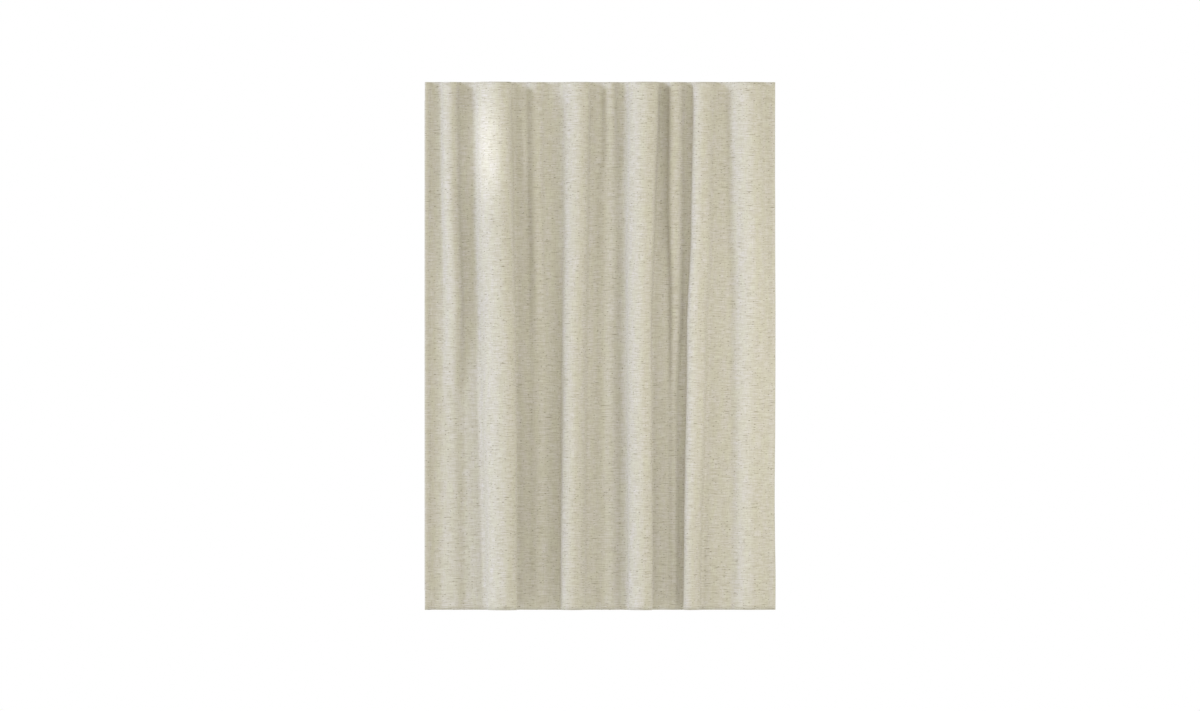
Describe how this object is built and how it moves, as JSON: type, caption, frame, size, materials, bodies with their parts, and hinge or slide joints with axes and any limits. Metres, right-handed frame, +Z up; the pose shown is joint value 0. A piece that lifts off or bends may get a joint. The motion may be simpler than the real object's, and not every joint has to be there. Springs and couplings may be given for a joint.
{
  "type": "curtain panel",
  "caption": "Unlined linen-look curtain panel, gathered in soft vertical folds on a corded heading tape with plastic hooks, hemmed on all sides",
  "frame": {"origin": "on the line where the hooks hang, at the middle of the hung panel", "axes": "+X runs along the rail to the right as seen from the room, -Y faces the room, +Z is up"},
  "size_m": [0.912, 0.1073, 1.37],
  "materials": {
    "linen_look_cloth": "plain weave in thick and thin yarns, matt, a little translucent, pale greige",
    "heading_tape": "woven polyester tape, off-white, matt",
    "draw_cord": "braided polyester cord, off-white, slight sheen",
    "hook_nylon": "moulded nylon, natural white, half matt",
    "label_satin": "satin ribbon, white, blank, slight sheen"
  },
  "bodies": {
    "panel": {"face_cloth": "linen_look_cloth", "top_turning": "linen_look_cloth", "left_side_hem": "linen_look_cloth", "right_side_hem": "linen_look_cloth", "bottom_hem": "linen_look_cloth", "heading_tape": "heading_tape", "draw_cord_upper": "draw_cord", "draw_cord_lower": "draw_cord", "care_label": "label_satin", "tape_pocket_01": "heading_tape", "curtain_hook_01": "hook_nylon"},
    "hook_02": {"curtain_hook_02": "hook_nylon", "tape_pocket_02": "heading_tape"},
    "hook_03": {"curtain_hook_03": "hook_nylon", "tape_pocket_03": "heading_tape"},
    "hook_04": {"curtain_hook_04": "hook_nylon", "tape_pocket_04": "heading_tape"},
    "hook_05": {"curtain_hook_05": "hook_nylon", "tape_pocket_05": "heading_tape"},
    "hook_06": {"curtain_hook_06": "hook_nylon", "tape_pocket_06": "heading_tape"},
    "hook_07": {"curtain_hook_07": "hook_nylon", "tape_pocket_07": "heading_tape"},
    "hook_08": {"curtain_hook_08": "hook_nylon", "tape_pocket_08": "heading_tape"},
    "hook_09": {"curtain_hook_09": "hook_nylon", "tape_pocket_09": "heading_tape"},
    "hook_10": {"curtain_hook_10": "hook_nylon", "tape_pocket_10": "heading_tape"}
  },
  "joints": [
    {"name": "curtain_draw", "type": "slide", "parent": "panel", "child": "hook_10", "axis": [-1, 0, 0], "range_m": [0, 0.5616], "deforming": ["face_cloth", "top_turning", "left_side_hem", "right_side_hem", "bottom_hem", "heading_tape", "draw_cord_upper", "draw_cord_lower", "care_label"]},
    {"name": "hook_02_slide", "type": "slide", "parent": "panel", "child": "hook_02", "axis": [-1, 0, 0], "range_m": [0, 0.0514], "deforming": ["face_cloth", "top_turning", "left_side_hem", "right_side_hem", "bottom_hem", "heading_tape", "draw_cord_upper", "draw_cord_lower", "care_label"]},
    {"name": "hook_03_slide", "type": "slide", "parent": "panel", "child": "hook_03", "axis": [-1, 0, 0], "range_m": [0, 0.1483], "deforming": ["face_cloth", "top_turning", "left_side_hem", "right_side_hem", "bottom_hem", "heading_tape", "draw_cord_upper", "draw_cord_lower", "care_label"]},
    {"name": "hook_04_slide", "type": "slide", "parent": "panel", "child": "hook_04", "axis": [-1, 0, 0], "range_m": [0, 0.1912], "deforming": ["face_cloth", "top_turning", "left_side_hem", "right_side_hem", "bottom_hem", "heading_tape", "draw_cord_upper", "draw_cord_lower", "care_label"]},
    {"name": "hook_05_slide", "type": "slide", "parent": "panel", "child": "hook_05", "axis": [-1, 0, 0], "range_m": [0, 0.2764], "deforming": ["face_cloth", "top_turning", "left_side_hem", "right_side_hem", "bottom_hem", "heading_tape", "draw_cord_upper", "draw_cord_lower", "care_label"]},
    {"name": "hook_06_slide", "type": "slide", "parent": "panel", "child": "hook_06", "axis": [-1, 0, 0], "range_m": [0, 0.3153], "deforming": ["face_cloth", "top_turning", "left_side_hem", "right_side_hem", "bottom_hem", "heading_tape", "draw_cord_upper", "draw_cord_lower", "care_label"]},
    {"name": "hook_07_slide", "type": "slide", "parent": "panel", "child": "hook_07", "axis": [-1, 0, 0], "range_m": [0, 0.3895], "deforming": ["face_cloth", "top_turning", "left_side_hem", "right_side_hem", "bottom_hem", "heading_tape", "draw_cord_upper", "draw_cord_lower", "care_label"]},
    {"name": "hook_08_slide", "type": "slide", "parent": "panel", "child": "hook_08", "axis": [-1, 0, 0], "range_m": [0, 0.4291], "deforming": ["face_cloth", "top_turning", "left_side_hem", "right_side_hem", "bottom_hem", "heading_tape", "draw_cord_upper", "draw_cord_lower", "care_label"]},
    {"name": "hook_09_slide", "type": "slide", "parent": "panel", "child": "hook_09", "axis": [-1, 0, 0], "range_m": [0, 0.4824], "deforming": ["face_cloth", "top_turning", "left_side_hem", "right_side_hem", "bottom_hem", "heading_tape", "draw_cord_upper", "draw_cord_lower", "care_label"]}
  ],
  "couplings": [
    {"joint": "hook_02_slide", "follows": "curtain_draw", "ratio": 0.0914},
    {"joint": "hook_03_slide", "follows": "curtain_draw", "ratio": 0.2639},
    {"joint": "hook_04_slide", "follows": "curtain_draw", "ratio": 0.3403},
    {"joint": "hook_05_slide", "follows": "curtain_draw", "ratio": 0.4919},
    {"joint": "hook_06_slide", "follows": "curtain_draw", "ratio": 0.5613},
    {"joint": "hook_07_slide", "follows": "curtain_draw", "ratio": 0.6933},
    {"joint": "hook_08_slide", "follows": "curtain_draw", "ratio": 0.7639},
    {"joint": "hook_09_slide", "follows": "curtain_draw", "ratio": 0.8588}
  ]
}
